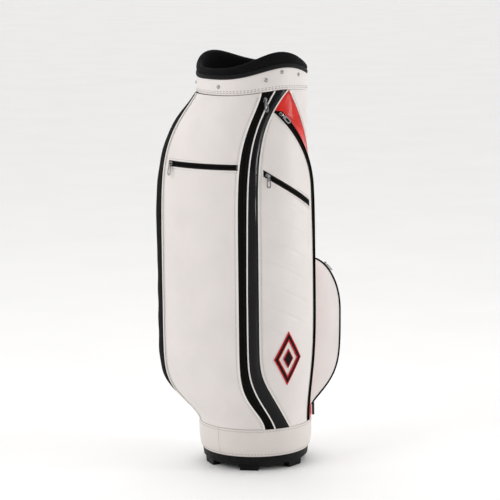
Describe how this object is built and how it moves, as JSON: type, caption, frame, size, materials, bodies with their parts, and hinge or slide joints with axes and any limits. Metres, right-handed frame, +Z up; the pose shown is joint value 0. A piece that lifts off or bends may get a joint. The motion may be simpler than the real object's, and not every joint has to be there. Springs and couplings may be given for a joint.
{
  "type": "golf staff bag",
  "caption": "Upright golf cart bag: divided club tube on a footed base, padded collar, bulging garment pocket, leaf-shaped front pocket and ball pocket with zips.",
  "frame": {"origin": "centre of the moulded base, on the ground", "axes": "+Z up along the club tube, the front faces -Y, the garment pocket is at -X and the ball pocket at +X"},
  "size_m": [0.3579, 0.3067, 0.8957],
  "materials": {
    "white_leather": "semi-gloss grained synthetic leather",
    "base_leather": "semi-gloss grained synthetic leather",
    "white_piping": "gloss piping",
    "black_panel": "woven zip tape and coil",
    "patent_leather": "crinkled patent gloss",
    "red_patent": "patent gloss",
    "rim_mesh": "knitted spacer mesh over foam",
    "binding": "ribbed binding tape",
    "moulded_plastic": "fine moulded texture",
    "foam": "closed cell foam",
    "divider_cloth": "brushed cloth",
    "emblem": "stitched patch with a red edge",
    "handle_leather": "grained synthetic leather",
    "chrome": "polished"
  },
  "bodies": {
    "bag": {"base_cup": "moulded_plastic", "base_band": "base_leather", "club_tube": "moulded_plastic", "body_padding": "foam", "collar_hoop": "moulded_plastic", "divider_frame": "moulded_plastic", "divider_center": "divider_cloth", "divider_front_left": "divider_cloth", "divider_rear_left": "divider_cloth", "divider_front_right": "divider_cloth", "divider_rear_right": "divider_cloth", "collar_band": "white_leather", "rim_binding": "binding", "rim_pad": "rim_mesh", "left_pocket_face": "white_leather", "pocket_zip_tape": "black_panel", "left_pocket_gusset": "black_panel", "left_zip_band": "black_panel", "gloss_stripe": "patent_leather", "piping_corner": "white_piping", "piping_rear": "white_piping", "piping_stripe": "white_piping", "piping_front": "white_piping", "front_pocket_face": "white_leather", "slant_zip_tape": "black_panel", "front_zip_band": "black_panel", "red_gusset": "red_patent", "right_panel": "white_leather", "back_panel": "white_leather", "emblem_patch": "emblem", "ball_pocket_face": "white_leather", "ball_zip_tape": "black_panel", "ball_pocket_near_side": "white_leather", "ball_pocket_far_side": "white_leather", "hood_stud_1": "chrome", "hood_stud_2": "chrome", "hood_stud_3": "chrome", "hood_stud_4": "chrome", "hood_stud_5": "chrome", "hood_stud_6": "chrome", "hood_stud_7": "chrome", "handle_anchor_low": "handle_leather", "handle_anchor_high": "handle_leather", "carry_handle": "handle_leather", "strap_ring_high_tab": "handle_leather", "strap_ring_low_tab": "handle_leather", "side_tab": "handle_leather"},
    "left_zip_slider": {"left_zip_slider": "chrome"},
    "left_zip_pull": {"left_zip_pull": "chrome"},
    "front_zip_slider": {"front_zip_slider": "chrome"},
    "front_zip_pull": {"front_zip_pull": "chrome"},
    "pocket_zip_slider": {"pocket_zip_slider": "chrome"},
    "pocket_zip_pull": {"pocket_zip_pull": "chrome"},
    "slant_zip_slider": {"slant_zip_slider": "chrome"},
    "slant_zip_pull": {"slant_zip_pull": "chrome"},
    "ball_zip_slider": {"ball_zip_slider": "chrome"},
    "ball_zip_pull": {"ball_zip_pull": "chrome"},
    "strap_ring_high": {"strap_ring_high": "chrome"},
    "strap_ring_low": {"strap_ring_low": "chrome"}
  },
  "joints": [
    {"name": "left_zip_run", "type": "hinge", "parent": "bag", "child": "left_zip_slider", "pos_m": [0.22587, 0.07443, 0.60904], "axis": [0.4309, -0.8733, -0.2271], "range_deg": [0, 7]},
    {"name": "left_zip_pull_lift", "type": "hinge", "parent": "left_zip_slider", "child": "left_zip_pull", "pos_m": [-0.0499, -0.11584, 0.79852], "axis": [-0.9804, 0.1971, 0], "range_deg": [0, 130]},
    {"name": "front_zip_run", "type": "hinge", "parent": "bag", "child": "front_zip_slider", "pos_m": [-0.16577, 0.05888, 0.58458], "axis": [0.4803, 0.7917, 0.3777], "range_deg": [0, 9]},
    {"name": "front_zip_pull_lift", "type": "hinge", "parent": "front_zip_slider", "child": "front_zip_pull", "pos_m": [-0.01482, -0.12549, 0.76606], "axis": [-0.7049, 0.0443, -0.7079], "range_deg": [0, 130]},
    {"name": "pocket_zip_run", "type": "hinge", "parent": "bag", "child": "pocket_zip_slider", "pos_m": [0.07299, 0.0605, 0.66179], "axis": [-0.0024, -0.0012, 1], "range_deg": [0, 34.8]},
    {"name": "pocket_zip_pull_lift", "type": "hinge", "parent": "pocket_zip_slider", "child": "pocket_zip_pull", "pos_m": [-0.18552, 0.04335, 0.66199], "axis": [-0.0663, 0.9978, 0], "range_deg": [0, 130]},
    {"name": "slant_zip_run", "type": "hinge", "parent": "bag", "child": "slant_zip_slider", "pos_m": [0.01074, 0.03961, 0.6144], "axis": [0.5221, -0.0668, 0.8502], "range_deg": [0, 33]},
    {"name": "slant_zip_pull_lift", "type": "hinge", "parent": "slant_zip_slider", "child": "slant_zip_pull", "pos_m": [-0.05472, -0.12892, 0.64095], "axis": [-0.9205, 0.3907, 0], "range_deg": [0, 130]},
    {"name": "ball_zip_run", "type": "hinge", "parent": "bag", "child": "ball_zip_slider", "pos_m": [0.02639, -0.0785, 0.32778], "axis": [0, 1, 0], "range_deg": [0, 40.2]},
    {"name": "ball_zip_pull_lift", "type": "hinge", "parent": "ball_zip_slider", "child": "ball_zip_pull", "pos_m": [0.13489, -0.0785, 0.42938], "axis": [0, -1, 0], "range_deg": [0, 130]},
    {"name": "strap_ring_high_swing", "type": "hinge", "parent": "bag", "child": "strap_ring_high", "pos_m": [0.00859, 0.12278, 0.7739], "axis": [0.9976, -0.0698, 0], "range_deg": [0, 90]},
    {"name": "strap_ring_low_swing", "type": "hinge", "parent": "bag", "child": "strap_ring_low", "pos_m": [0.0088, 0.12588, 0.2809], "axis": [0.9976, -0.0698, 0], "range_deg": [0, 90]}
  ]
}
